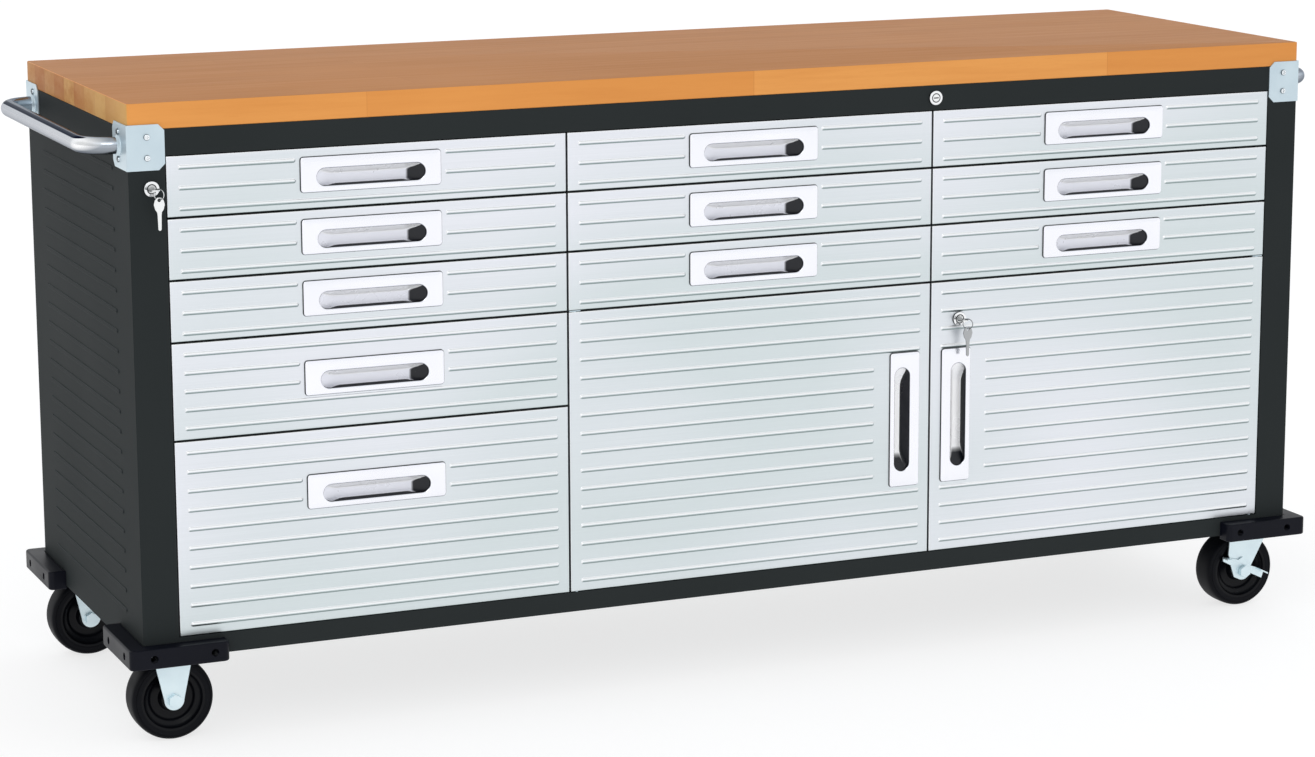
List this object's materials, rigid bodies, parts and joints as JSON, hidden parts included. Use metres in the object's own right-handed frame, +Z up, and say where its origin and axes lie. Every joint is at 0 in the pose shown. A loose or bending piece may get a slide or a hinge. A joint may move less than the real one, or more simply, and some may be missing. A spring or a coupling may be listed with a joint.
{
  "type": "workbench with drawers",
  "caption": "Rolling steel workbench with a wooden top, rows of ribbed stainless drawers, a double-door bay, end push handles and braked casters.",
  "frame": {"origin": "on the floor under the middle of the cabinet", "axes": "+X to the right along the bench, +Y from the drawer fronts to the back, +Z up"},
  "size_m": [2.079, 0.66, 0.9525],
  "materials": {
    "cabinet_paint": "fine-textured charcoal powder coat",
    "front_steel": "satin stainless sheet, brushed along its length",
    "pull_chrome": "bright polished",
    "top_wood": "oiled glued-up hardwood, satin",
    "bumper_plastic": "moulded, soft sheen",
    "zinc_plate": "blue-white zinc plating, satin",
    "handle_chrome": "polished tube",
    "wheel_rubber": "moulded, matte tread",
    "lock_chrome": "polished",
    "key_nickel": "nickel plated, lightly worn",
    "slide_zinc": "zinc plated",
    "drawer_paint": "smooth charcoal powder coat"
  },
  "bodies": {
    "cabinet": {"side_panel_left": "cabinet_paint", "side_panel_right": "cabinet_paint", "side_liners": "cabinet_paint", "back_panel": "cabinet_paint", "base_pan": "cabinet_paint", "face_frame": "cabinet_paint", "dividers": "cabinet_paint", "bay_ceiling": "cabinet_paint", "bay_shelf": "cabinet_paint", "top_cross_members": "cabinet_paint", "wood_top": "top_wood", "corner_bumpers": "bumper_plastic", "handle_brackets": "zinc_plate", "push_handles": "handle_chrome", "screws_clips_and_catches": "zinc_plate", "rigid_caster_forks": "zinc_plate", "swivel_caster_plates": "zinc_plate", "lock_barrels": "lock_chrome", "slide_channels": "slide_zinc", "door_hinges": "zinc_plate"},
    "left_drawer_1": {"left_drawer_1_box": "drawer_paint", "left_drawer_1_front": "front_steel"},
    "left_drawer_2": {"left_drawer_2_box": "drawer_paint", "left_drawer_2_front": "front_steel"},
    "left_drawer_3": {"left_drawer_3_box": "drawer_paint", "left_drawer_3_front": "front_steel"},
    "left_drawer_4": {"left_drawer_4_box": "drawer_paint", "left_drawer_4_front": "front_steel"},
    "left_drawer_5": {"left_drawer_5_box": "drawer_paint", "left_drawer_5_front": "front_steel"},
    "middle_drawer_1": {"middle_drawer_1_box": "drawer_paint", "middle_drawer_1_front": "front_steel"},
    "middle_drawer_2": {"middle_drawer_2_box": "drawer_paint", "middle_drawer_2_front": "front_steel"},
    "middle_drawer_3": {"middle_drawer_3_box": "drawer_paint", "middle_drawer_3_front": "front_steel"},
    "right_drawer_1": {"right_drawer_1_box": "drawer_paint", "right_drawer_1_front": "front_steel"},
    "right_drawer_2": {"right_drawer_2_box": "drawer_paint", "right_drawer_2_front": "front_steel"},
    "right_drawer_3": {"right_drawer_3_box": "drawer_paint", "right_drawer_3_front": "front_steel"},
    "left_door": {"door_left": "front_steel", "door_left_pull": "pull_chrome"},
    "right_door": {"door_right": "front_steel", "door_right_pull": "pull_chrome", "door_lock_barrel": "lock_chrome"},
    "swivel_front": {"swivel_fork_front": "zinc_plate"},
    "brake_front": {"brake_pedal_front": "zinc_plate"},
    "right_wheel_front": {"wheel_right_front": "wheel_rubber"},
    "left_wheel_front": {"wheel_left_front": "wheel_rubber"},
    "swivel_rear": {"swivel_fork_rear": "zinc_plate"},
    "brake_rear": {"brake_pedal_rear": "zinc_plate"},
    "right_wheel_rear": {"wheel_right_rear": "wheel_rubber"},
    "left_wheel_rear": {"wheel_left_rear": "wheel_rubber"},
    "stile_lock": {"stile_lock_key": "key_nickel"},
    "rail_lock": {"rail_lock_plug": "key_nickel"},
    "door_lock": {"door_lock_key": "key_nickel"},
    "stile_spare_key": {"stile_spare_key": "key_nickel"},
    "door_spare_key": {"door_spare_key": "key_nickel"}
  },
  "joints": [
    {"name": "left_drawer_1_slide", "type": "slide", "parent": "cabinet", "child": "left_drawer_1", "axis": [0, -1, 0], "range_m": [0, 0.38]},
    {"name": "left_drawer_2_slide", "type": "slide", "parent": "cabinet", "child": "left_drawer_2", "axis": [0, -1, 0], "range_m": [0, 0.38]},
    {"name": "left_drawer_3_slide", "type": "slide", "parent": "cabinet", "child": "left_drawer_3", "axis": [0, -1, 0], "range_m": [0, 0.38]},
    {"name": "left_drawer_4_slide", "type": "slide", "parent": "cabinet", "child": "left_drawer_4", "axis": [0, -1, 0], "range_m": [0, 0.38]},
    {"name": "left_drawer_5_slide", "type": "slide", "parent": "cabinet", "child": "left_drawer_5", "axis": [0, -1, 0], "range_m": [0, 0.38]},
    {"name": "middle_drawer_1_slide", "type": "slide", "parent": "cabinet", "child": "middle_drawer_1", "axis": [0, -1, 0], "range_m": [0, 0.38]},
    {"name": "middle_drawer_2_slide", "type": "slide", "parent": "cabinet", "child": "middle_drawer_2", "axis": [0, -1, 0], "range_m": [0, 0.38]},
    {"name": "middle_drawer_3_slide", "type": "slide", "parent": "cabinet", "child": "middle_drawer_3", "axis": [0, -1, 0], "range_m": [0, 0.38]},
    {"name": "right_drawer_1_slide", "type": "slide", "parent": "cabinet", "child": "right_drawer_1", "axis": [0, -1, 0], "range_m": [0, 0.38]},
    {"name": "right_drawer_2_slide", "type": "slide", "parent": "cabinet", "child": "right_drawer_2", "axis": [0, -1, 0], "range_m": [0, 0.38]},
    {"name": "right_drawer_3_slide", "type": "slide", "parent": "cabinet", "child": "right_drawer_3", "axis": [0, -1, 0], "range_m": [0, 0.38]},
    {"name": "left_door_hinge", "type": "hinge", "parent": "cabinet", "child": "left_door", "pos_m": [-0.2965, -0.2985, 0.384], "axis": [0, 0, -1], "range_deg": [0, 90]},
    {"name": "right_door_hinge", "type": "hinge", "parent": "cabinet", "child": "right_door", "pos_m": [0.9125, -0.2985, 0.384], "axis": [0, 0, 1], "range_deg": [0, 90]},
    {"name": "swivel_front_turn", "type": "hinge", "parent": "cabinet", "child": "swivel_front", "pos_m": [0.941, -0.247, 0.136], "axis": [0, 0, 1], "continuous": true},
    {"name": "brake_front_press", "type": "hinge", "parent": "swivel_front", "child": "brake_front", "pos_m": [0.919, -0.247, 0.0625], "axis": [0, -1, 0], "range_deg": [0, 20]},
    {"name": "right_wheel_front_spin", "type": "hinge", "parent": "swivel_front", "child": "right_wheel_front", "pos_m": [0.919, -0.247, 0.0625], "axis": [0, 1, 0], "continuous": true},
    {"name": "left_wheel_front_spin", "type": "hinge", "parent": "cabinet", "child": "left_wheel_front", "pos_m": [-0.927, -0.247, 0.0625], "axis": [0, 1, 0], "continuous": true},
    {"name": "swivel_rear_turn", "type": "hinge", "parent": "cabinet", "child": "swivel_rear", "pos_m": [0.941, 0.247, 0.136], "axis": [0, 0, 1], "continuous": true},
    {"name": "brake_rear_press", "type": "hinge", "parent": "swivel_rear", "child": "brake_rear", "pos_m": [0.919, 0.247, 0.0625], "axis": [0, -1, 0], "range_deg": [0, 20]},
    {"name": "right_wheel_rear_spin", "type": "hinge", "parent": "swivel_rear", "child": "right_wheel_rear", "pos_m": [0.919, 0.247, 0.0625], "axis": [0, 1, 0], "continuous": true},
    {"name": "left_wheel_rear_spin", "type": "hinge", "parent": "cabinet", "child": "left_wheel_rear", "pos_m": [-0.927, 0.247, 0.0625], "axis": [0, 1, 0], "continuous": true},
    {"name": "stile_lock_turn", "type": "hinge", "parent": "cabinet", "child": "stile_lock", "pos_m": [-0.945, -0.303, 0.8295], "axis": [0, 1, 0], "range_deg": [0, 90]},
    {"name": "rail_lock_turn", "type": "hinge", "parent": "cabinet", "child": "rail_lock", "pos_m": [0.312, -0.303, 0.89525], "axis": [0, 1, 0], "range_deg": [0, 90]},
    {"name": "door_lock_turn", "type": "hinge", "parent": "right_door", "child": "door_lock", "pos_m": [0.359, -0.303, 0.541], "axis": [0, 1, 0], "range_deg": [0, 90]},
    {"name": "stile_spare_key_swing", "type": "hinge", "parent": "stile_lock", "child": "stile_spare_key", "pos_m": [-0.93934, -0.32216, 0.8309], "axis": [0, 1, 0], "range_deg": [-15, 15]},
    {"name": "door_spare_key_swing", "type": "hinge", "parent": "door_lock", "child": "door_spare_key", "pos_m": [0.36466, -0.32216, 0.5424], "axis": [0, 1, 0], "range_deg": [-15, 15]}
  ]
}
